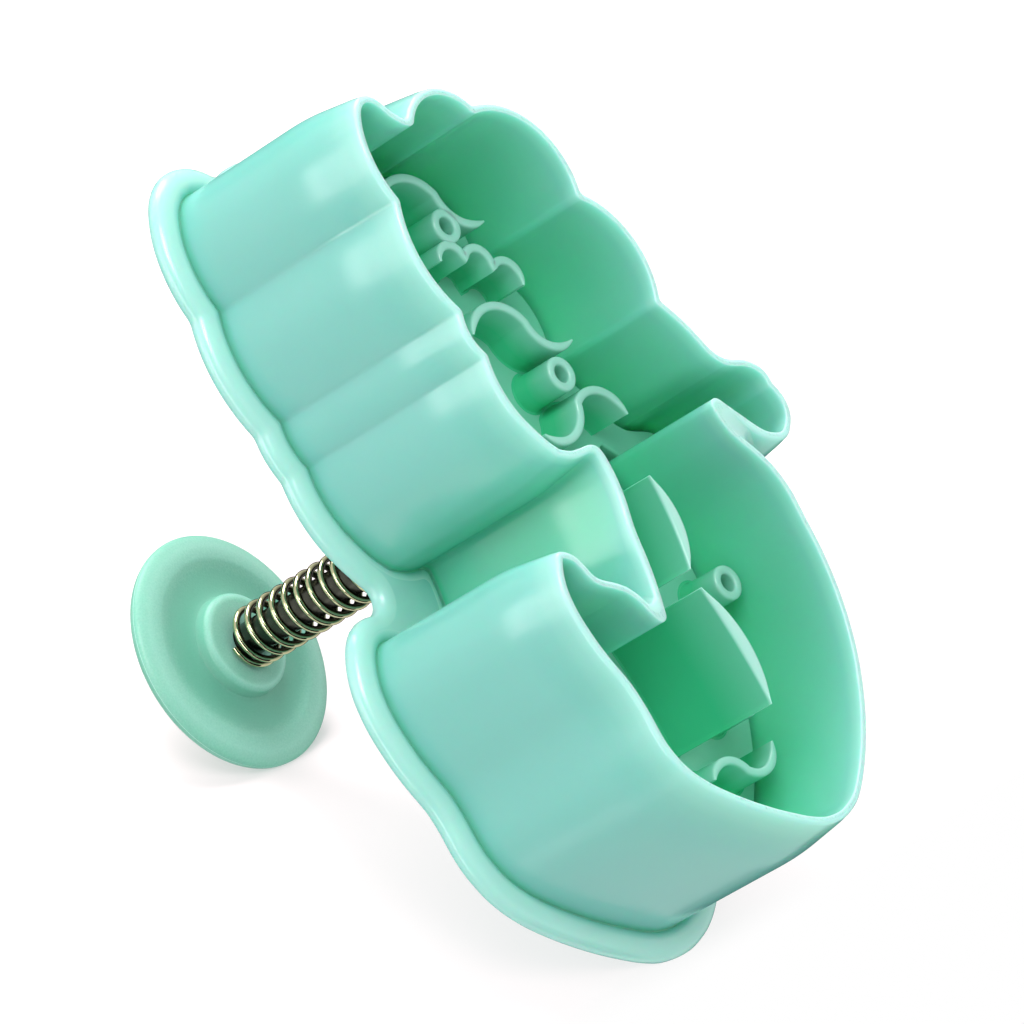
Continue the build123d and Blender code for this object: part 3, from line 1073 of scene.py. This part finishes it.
def springTree():
    sizes = [(size, "Float") for size in springSettings]
    tree, known = newTree("coiledWire", [*sizes, ("Material", "Material")])
    known["index"] = addNode(tree, "GeometryNodeInputIndex")
    addSums(tree, "ShaderNodeMath", known, springSums)
    line = addNode(tree, "GeometryNodeMeshLine", {"Count": known["count"], "Offset": (0, 0, mm)})
    wire = addNode(tree, "GeometryNodeMeshToCurve", {"Mesh": line})
    place = {"X": known["x"], "Y": known["y"], "Z": known["height"]}
    spot = addNode(tree, "ShaderNodeCombineXYZ", place)
    inMetres = addNode(tree, "ShaderNodeVectorMath", {0: spot, "Scale": mm}, operation="SCALE")
    coiled = addNode(tree, "GeometryNodeSetPosition", {"Geometry": wire, "Position": inMetres})
    upright = addNode(tree, "GeometryNodeSetCurveNormal", {"Curve": coiled}, mode="Z_UP")
    circle = {"Resolution": 20, "Radius": known["gauge"]}
    profile = addNode(tree, "GeometryNodeCurvePrimitiveCircle", circle)
    sweep = {"Curve": upright, "Profile Curve": profile, "Fill Caps": True}
    finishTree(tree, addNode(tree, "GeometryNodeCurveToMesh", sweep), known["Material"])
    return tree


springGuide = edgeGuide("springGuide", [], [], {})
springValues = {**springSettings, "Material": springSteel}
returnSpring = growPiece("returnSpring", springGuide, springTree(), springValues, 60.0)
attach(returnSpring, "shell")
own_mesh(returnSpring)
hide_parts("return_spring")
print("spring coiled")

# Stage: floor, ground card of the lying view, world, lamps and cards

stageSettings = {
    "paper": "#D5C7C9",
    "floorSize": 6.0,
    "floorGlow": 0.6,
    "cardSize": (0.5, 0.3),
    "cardGlow": 0.35,
    "flangeLow": 0.0282,
    "flangeShadow": 0.48,
    "flangeFade": 0.004,
    "knobLow": 0.0661,
    "knobShadow": 1.0,
    "knobFade": 0.018,
    "worldFill": 0.72,
    "aim": (0, 0, 0.03),
}


# White paper seen from its front only, bright enough to be white where no shadow falls. The
# share of it that takes shadow is a socket that shadowShare gives, or all of it.
def paperMaterial(name, s, glowStrength, shadowShare=None):
    material, tree = newMaterial(name)
    back = addNode(tree, "ShaderNodeNewGeometry").outputs["Backfacing"]
    diffuse = addNode(tree, "ShaderNodeBsdfDiffuse", {"Color": hexToLinear(s["paper"])})
    glow = addNode(tree, "ShaderNodeEmission", {"Strength": glowStrength})
    lit = addNode(tree, "ShaderNodeAddShader", {0: diffuse, 1: glow})
    if shadowShare:
        white = addNode(tree, "ShaderNodeEmission", {"Strength": 1.0})
        lit = addNode(tree, "ShaderNodeMixShader", {"Fac": shadowShare(tree), 1: white, 2: lit})
    clear = addNode(tree, "ShaderNodeBsdfTransparent")
    oneSided = addNode(tree, "ShaderNodeMixShader", {"Fac": back, 1: lit, 2: clear})
    addNode(tree, "ShaderNodeOutputMaterial", {"Surface": oneSided})
    return material


# A flat sheet from its middle, two half sides and their order, facing right-handedly.
def makeSheet(name, centre, sideA, sideB, material):
    centre, sideA, sideB = Vector(centre), Vector(sideA), Vector(sideB)
    signs = ((-1, -1), (1, -1), (1, 1), (-1, 1))
    corners = [centre + a * sideA + b * sideB for a, b in signs]
    mesh = bpy.data.meshes.new(name)
    mesh.from_pydata([tuple(corner) for corner in corners], [], [(0, 1, 2, 3)])
    mesh.materials.append(material)
    sheet = addObject(name, mesh)
    for rays in ("diffuse", "glossy", "transmission", "volume_scatter", "shadow"):
        setattr(sheet, "visible_" + rays, False)
    return sheet


floorPaper = paperMaterial("whiteFloorPaper", stageSettings, stageSettings["floorGlow"])
half = stageSettings["floorSize"] / 2
makeSheet("floor", (0, 0, 0), (half, 0, 0), (0, half, 0), floorPaper)
# The card touches the flange's low end and the knob's edge, as the ground does in the photograph.
flangeEnd = Vector((0, cadBounds[0].y, stageSettings["flangeLow"]))
knobEdge = Vector((0, (plungerY - knobSettings["radius"]) * mm, stageSettings["knobLow"]))
lean = (knobEdge - flangeEnd).normalized()


# Along the card: none below the flange, some under it, all of it round the knob.
def cardShadow(tree):
    place = addNode(tree, "ShaderNodeTexCoord").outputs["Object"]
    course = {0: place, 1: tuple(lean)}
    along = addNode(tree, "ShaderNodeVectorMath", course, operation="DOT_PRODUCT").outputs["Value"]
    flangeSpot, knobSpot = flangeEnd.dot(lean), knobEdge.dot(lean)
    flangeShadow, fade = stageSettings["flangeShadow"], stageSettings["flangeFade"]
    ramps = [
        (flangeSpot - fade, flangeSpot + fade, flangeShadow),
        (knobSpot - stageSettings["knobFade"], knobSpot, stageSettings["knobShadow"] - flangeShadow),
    ]
    shares = {}
    for step, (start, end, most) in enumerate(ramps):
        ramp = {"Value": along, "From Min": start, "From Max": end, "To Max": most}
        shares[step] = addNode(tree, "ShaderNodeMapRange", ramp, interpolation_type="SMOOTHSTEP")
    return addNode(tree, "ShaderNodeMath", shares, operation="ADD").outputs[0]


cardPaper = paperMaterial("whiteCardPaper", stageSettings, stageSettings["cardGlow"], cardShadow)
cardWidth, cardHeight = stageSettings["cardSize"]
cardMiddle = (flangeEnd + knobEdge) / 2
makeSheet("groundCard", cardMiddle, lean * cardHeight, (cardWidth, 0, 0), cardPaper)


# Even white light, dimmer for what it lights than for what sees it.
def makeWorld(s):
    world = bpy.data.worlds.new("studio")
    bpy.context.scene.world = world
    world.use_nodes = True
    tree = world.node_tree
    tree.nodes.clear()
    rays = addNode(tree, "ShaderNodeLightPath").outputs
    seen = 0.0
    for kind in ("Is Camera Ray", "Is Glossy Ray", "Is Transmission Ray"):
        seen = addNode(tree, "ShaderNodeMath", {0: rays[kind], 1: seen}, operation="MAXIMUM")
    strength = addNode(tree, "ShaderNodeMapRange", {"Value": seen, "To Min": s["worldFill"]})
    white = {"Color": (1, 1, 1, 1), "Strength": strength}
    background = addNode(tree, "ShaderNodeBackground", white)
    addNode(tree, "ShaderNodeOutputWorld", {"Surface": background})


makeWorld(stageSettings)

# Soft boxes: place, width and height, and watts. Each looks at the cutter's middle.
lampSettings = {
    "mouthBox": [(0.49, 0.52, -0.71), (0.55, 0.55), 3.5],
    "cameraBox": [(0.72, 0.2, -0.66), (0.5, 0.5), 1.3],
    "leftBox": [(0.85, 0.45, 0.1), (0.6, 0.6), 1.7],
    "skyBox": [(-0.2, 0.95, -0.2), (0.6, 0.6), 8.5],
    "groundBox": [(0.45, -0.75, -0.35), (0.6, 0.6), 0.5],
}


def makeLamp(name, place, size, watts):
    data = bpy.data.lights.new(name, "AREA")
    data.shape = "RECTANGLE"
    data.size, data.size_y = size
    data.energy = watts
    lamp = addObject(name, data)
    lamp.location = place
    towards = Vector(stageSettings["aim"]) - Vector(place)
    lamp.rotation_euler = towards.to_track_quat("-Z", "Y").to_euler()
    lamp.visible_camera = False


for lampName, lampValues in lampSettings.items():
    makeLamp(lampName, *lampValues)

# Cards that only gloss sees: place, width and height, and glow. The glowing ones give the sheen on
# beads, rims and walls, and the black flags the dark bands in the wire. Each looks at the origin.
cardSettings = {
    "mouthCard": [(0.5, 0.56, -0.75), (0.42, 0.34), 10.5],
    "leftCard": [(0.74, 0.37, 0.42), (0.45, 0.12), 7.0],
    "wireCard": [(0.9, 0.0, 0.0), (0.8, 0.2), 7.0],
    "rodCard": [(0.51, -0.58, 0.63), (0.25, 0.5), 1.6],
    "farFlag": [(-0.2, 0.75, 0.6), (0.7, 0.7)],
    "topFlag": [(0.25, 0.0, 0.95), (0.9, 0.6)],
    "sideFlag": [(0.85, -0.3, 0.24), (0.8, 0.3)],
    "frontFlag": [(0.62, -0.15, -0.42), (1.2, 0.62)],
    "underFlag": [(-0.25, -0.1, -0.75), (0.9, 0.35)],
    "lowFlag": [(0.25, -0.85, -0.15), (1.1, 0.8)],
    "backFlag": [(-0.7, 0.0, 0.55), (1.4, 0.9)],
}


def makeCard(name, place, size, glow=0.0):
    material, tree = newMaterial(name)
    shader = addNode(tree, "ShaderNodeEmission", {"Strength": glow})
    addNode(tree, "ShaderNodeOutputMaterial", {"Surface": shader})
    across = Vector((0, 0, 1)).cross(Vector(place)).normalized()
    upward = Vector(place).cross(across).normalized()
    card = makeSheet(name, place, across * size[0] / 2, upward * size[1] / 2, material)
    card.visible_camera = False
    card.visible_glossy = True


for cardName, cardValues in cardSettings.items():
    makeCard(cardName, *cardValues)
bpy.context.scene.view_settings.view_transform = "Standard"
print("stage lit")
